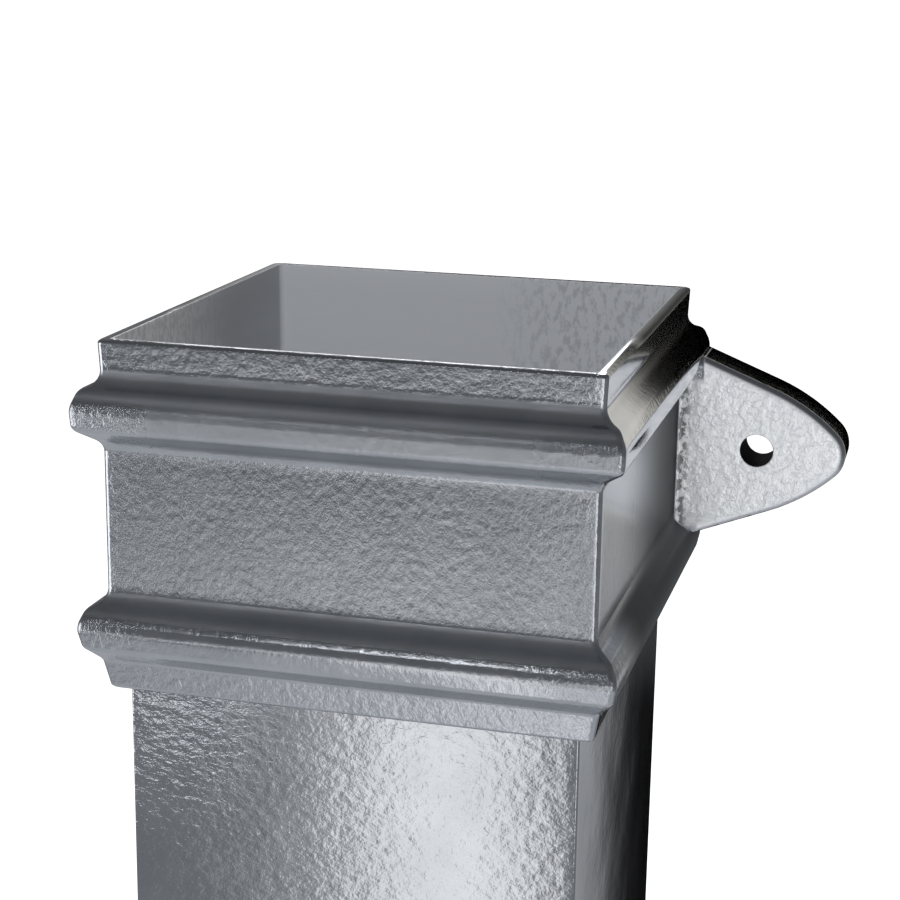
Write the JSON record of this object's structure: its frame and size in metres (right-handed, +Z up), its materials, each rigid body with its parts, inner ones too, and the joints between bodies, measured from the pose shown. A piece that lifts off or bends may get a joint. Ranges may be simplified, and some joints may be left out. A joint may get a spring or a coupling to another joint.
{
  "type": "cast iron downpipe",
  "caption": "Square cast iron downpipe with a moulded socket and fixing ears at the top and a plain spigot end that fits the next socket, carrying rainwater down a wall.",
  "frame": {"origin": "centre of the spigot end's face, at the bottom of the pipe", "axes": "+Z up the barrel to the socket, -Y the street face, +Y the wall side with the ears' backs, +X to the right seen from the street"},
  "size_m": [0.1884, 0.1177, 0.675],
  "materials": {
    "casting": "bare grey sand casting, cleaned to a dull shine"
  },
  "bodies": {
    "root": {"downpipe": "casting"}
  },
  "joints": []
}
